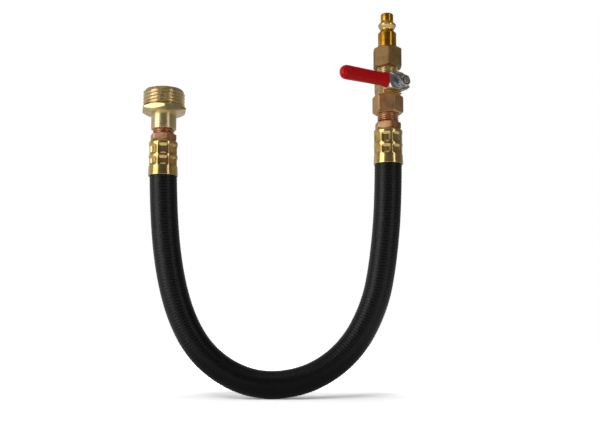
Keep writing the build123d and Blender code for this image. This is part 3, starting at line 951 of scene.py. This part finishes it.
def makePlug():
    p = plug
    low, high = levelOf("air_plug", 0), levelOf("air_plug", 1)
    hexHigh = low + p["hexHeight"]
    bodyHigh = hexHigh + p["bodyHeight"]
    collar = bodyHigh + p["collarRise"]
    noseLow = collar + p["noseRise"]
    neck = p["nose"] - p["noseStep"]
    bottom = low + p["socketDepth"]
    rows = [(p["socket"], low + 0.5), (p["socket"] + 0.5, low)]
    rows += hexRows(p["flats"], p["turn"], low, hexHigh, p["chamferBelow"], p["chamferAbove"],
                    edge=p["hexEdge"])
    rows += rounded([
        (p["body"], hexHigh, 0.05), (p["body"], bodyHigh - 1.0, 0.35),
        (p["body"] - 1.2, bodyHigh, 0.4), (p["waist"], bodyHigh + 0.9, 0.4),
        (p["waist"], bodyHigh + 1.7, 0.7), (p["collar"] - 0.35, collar - 1.2, 0.6),
        (p["collar"], collar - 0.2, 0.5), (p["collar"], collar + 0.3, 0.5),
        (p["collar"] - 0.6, collar + 1.1, 0.6), (neck, noseLow, 0.2),
        (neck, noseLow + 0.45, 0.05), (p["nose"], noseLow + 0.5, 0.1),
        (p["nose"], high - 0.5, 0.2), (p["nose"] - 0.5, high, 0.2),
        (p["bore"] + 0.3, high, 0.1), (p["bore"], high - 0.4, 0.1),
        (p["bore"], bottom), (p["socket"], bottom),
    ], steps=5)
    piece = rowSolid("airPlug", rows, airAxis)
    placed(piece, fixedBody, "brass_turned", plugBrass, "air_plug")
    # the hexagon is rougher than the turned body, and its darker colour is painted shade for the
    # dimmer reflection in its facets; the collar's paler colour is a painted reflection
    piece.data.materials.append(plugHexPaintedShadeBrass)
    piece.data.materials.append(ferruleBrass)
    for polygon in piece.data.polygons:
        if polygon.center.z < (hexHigh + 0.01) * mm:
            polygon.material_index = 1
        # the collar's paler ferrule brass is a painted reflection on the same turned brass
        elif (bodyHigh + 1.5) * mm < polygon.center.z < noseLow * mm:
            polygon.material_index = 2


makePlug()
print("plug ready")


# what shows of the inner parts
def plainMetal(name, colour, roughness):
    material, tree = newMaterial(name)
    place = addNode(tree, "ShaderNodeTexCoord").outputs["Object"]
    cloud = addNode(tree, "ShaderNodeTexNoise", {"Scale": 1 / (2 * mm), "Detail": 3.0},
                    {"Vector": place})
    rough = addNode(tree, "ShaderNodeValToRGB",
                    {"stops": ((0.3, roughness), (0.7, roughness + 0.12))}, {"Fac": cloud})
    shader = addNode(tree, "ShaderNodeBsdfPrincipled",
                     {"Metallic": 1.0, "Base Color": linear(colour)}, {"Roughness": rough})
    finishSurface(tree, shader)
    return material


def plainPlastic(name, light, dark, roughness):
    material, tree = newMaterial(name)
    place = addNode(tree, "ShaderNodeTexCoord").outputs["Object"]
    cloud = addNode(tree, "ShaderNodeTexNoise", {"Scale": 1 / (3.3 * mm), "Detail": 2.0},
                    {"Vector": place})
    colour = addNode(tree, "ShaderNodeValToRGB", {"stops": ((0.3, dark), (0.7, light))},
                     {"Fac": cloud})
    shader = addNode(tree, "ShaderNodeBsdfPrincipled", {"Roughness": roughness, "IOR": 1.4},
                     {"Base Color": colour})
    finishSurface(tree, shader)
    return material


def dressNode(node, material):
    piece = frame["nodes"][node]
    piece.data.materials.clear()
    piece.data.materials.append(material)


dressNode("valve_stem", plainMetal("stemZincPlated", "#B5AA98", 0.3))
dressNode("valve_ball", plainMetal("platedBall", "#D6D6D2", 0.08))
whiteSeat = plainPlastic("whiteFluoropolymer", "#EDEDE8", "#E0E0DA", 0.4)
for seatNode in ("lower_seat", "upper_seat", "thrust_washer"):
    dressNode(seatNode, whiteSeat)
dressNode("stem_o_ring", plainPlastic("nitrileRubber", "#1A1A1B", "#0E0E0F", 0.5))
print("inner parts ready")


# floor, world and lamps
studio = {
    "key": {"radiance": 2.05, "size": (0.6, 0.6), "azimuth": -56, "distance": 0.9, "height": 0.3},
    "strip": {"radiance": 2.0, "size": (0.14, 0.8), "azimuth": 46, "distance": 0.9, "height": 0.3},
    "top": {"radiance": 0.5, "size": (0.9, 0.7), "azimuth": -20, "distance": 0.35, "height": 1.15},
    "floorLamp": {"radiance": 7.0, "size": (0.4, 0.4), "azimuth": -16, "distance": 0.8,
                  "height": 0.5},
    "front": 0.17, "side": 0.4, "back": 0.75, "rightShare": 0.3, "topShare": 0.35,
    "worldStrength": 0.92, "floorSize": 6.0, "floorReach": (0.06, 0.19), "floorGlow": 1.0,
    "floorAlbedo": 2.0, "floorBounce": "#B8B8B8", "glossyShare": 0.35, "aimHeight": 0.15,
}


def makeFloor():
    mesh = bpy.data.meshes.new("floor")
    shell = bmesh.new()
    size = studio["floorSize"]
    shell.faces.new([shell.verts.new((middleX + x * size, y * size, floorLevel))
                     for x, y in ((-1, -1), (1, -1), (1, 1), (-1, 1))])
    shell.to_mesh(mesh)
    shell.free()
    floor = addObject("floor", mesh)
    material, tree = newMaterial("whitePaperFloor")
    # paper that the camera sees as white and that keeps the contact shadow near the object
    ray = addNode(tree, "ShaderNodeLightPath")
    seen = addNode(tree, "ShaderNodeMath", {"operation": "MULTIPLY_ADD", 1: studio["glossyShare"]},
                   {0: ray.outputs["Is Glossy Ray"], 2: ray.outputs["Is Camera Ray"]})
    place = addNode(tree, "ShaderNodeTexCoord").outputs["Object"]
    centred = addNode(tree, "ShaderNodeMapping", {"Location": (-middleX, 0, -floorLevel)},
                      {"Vector": place})
    away = addNode(tree, "ShaderNodeVectorMath", {"operation": "LENGTH"}, {0: centred})
    near, far = studio["floorReach"]
    fade = addNode(tree, "ShaderNodeMapRange",
                   {"interpolation_type": "SMOOTHSTEP", "From Min": near, "From Max": far,
                    "To Max": studio["floorGlow"]}, {"Value": away.outputs["Value"]})
    shine = addNode(tree, "ShaderNodeMath", {"operation": "MULTIPLY"}, {0: fade, 1: seen})
    plain = addNode(tree, "ShaderNodeBsdfDiffuse", {"Color": linear(studio["floorBounce"])})
    bright = addNode(tree, "ShaderNodeBsdfDiffuse", {"Color": [studio["floorAlbedo"]] * 3 + [1.0]})
    paper = addNode(tree, "ShaderNodeMixShader",
                    links={0: ray.outputs["Is Camera Ray"], 1: plain, 2: bright})
    glow = addNode(tree, "ShaderNodeEmission", {"Color": linear("#FFFFFF")}, {"Strength": shine})
    both = addNode(tree, "ShaderNodeAddShader", links={0: paper, 1: glow})
    addNode(tree, "ShaderNodeOutputMaterial", links={"Surface": both})
    mesh.materials.append(material)


def makeWorld():
    world = bpy.data.worlds.new("studio")
    bpy.context.scene.world = world
    world.use_nodes = True
    tree = world.node_tree
    tree.nodes.clear()
    direction = addNode(tree, "ShaderNodeTexCoord").outputs["Generated"]
    parts = addNode(tree, "ShaderNodeSeparateXYZ", links={"Vector": direction})
    backwards = addNode(tree, "ShaderNodeMapRange", {"From Min": -1.0},
                        {"Value": parts.outputs["Y"]})
    stops = ((0.0, studio["front"]), (0.35, studio["side"]), (0.8, studio["back"]))
    level = addNode(tree, "ShaderNodeValToRGB", {"stops": stops}, {"Fac": backwards})
    rightwards = addNode(tree, "ShaderNodeMapRange",
                         {"From Min": -1.0, "To Min": 1.0, "To Max": studio["rightShare"]},
                         {"Value": parts.outputs["X"]})
    upwards = addNode(tree, "ShaderNodeMapRange",
                      {"From Min": 0.1, "To Min": 1.0, "To Max": studio["topShare"]},
                      {"Value": parts.outputs["Z"]})
    both = addNode(tree, "ShaderNodeMath", {"operation": "MULTIPLY"}, {0: rightwards, 1: upwards})
    strength = addNode(tree, "ShaderNodeMath",
                       {"operation": "MULTIPLY", 1: studio["worldStrength"]}, {0: both})
    ray = addNode(tree, "ShaderNodeLightPath")
    white = addNode(tree, "ShaderNodeBackground", {"Color": linear("#FFFFFF"), "Strength": 1.0})
    soft = addNode(tree, "ShaderNodeBackground", links={"Color": level, "Strength": strength})
    mix = addNode(tree, "ShaderNodeMixShader",
                  links={0: ray.outputs["Is Camera Ray"], 1: soft, 2: white})
    addNode(tree, "ShaderNodeOutputWorld", links={"Surface": mix})


def addLamp(name):
    # a flat soft box, sizes in metres; azimuth 0 is in front; radiance and size give its power
    look = studio[name]
    width, height = look["size"]
    data = bpy.data.lights.new(name, "AREA")
    data.shape = "RECTANGLE"
    data.size, data.size_y = width, height
    data.energy = look["radiance"] * math.pi * width * height
    lamp = addObject(name, data)
    turn = math.radians(look["azimuth"])
    target = Vector((middleX, 0, floorLevel + studio["aimHeight"]))
    lamp.location = (
        middleX + look["distance"] * math.sin(turn),
        -look["distance"] * math.cos(turn),
        floorLevel + look["height"],
    )
    lamp.rotation_euler = (target - lamp.location).to_track_quat("-Z", "Y").to_euler()
    return lamp


makeFloor()
makeWorld()
for lampName in ("key", "strip", "top"):
    addLamp(lampName)
# one more lamp that lights the floor alone: a firm shadow there, and no change to the brass
floorOnly = bpy.data.collections.new("floorOnly")
floorOnly.objects.link(bpy.data.objects["floor"])
addLamp("floorLamp").light_linking.receiver_collection = floorOnly
bpy.context.scene.view_settings.view_transform = "Standard"
print("studio ready")
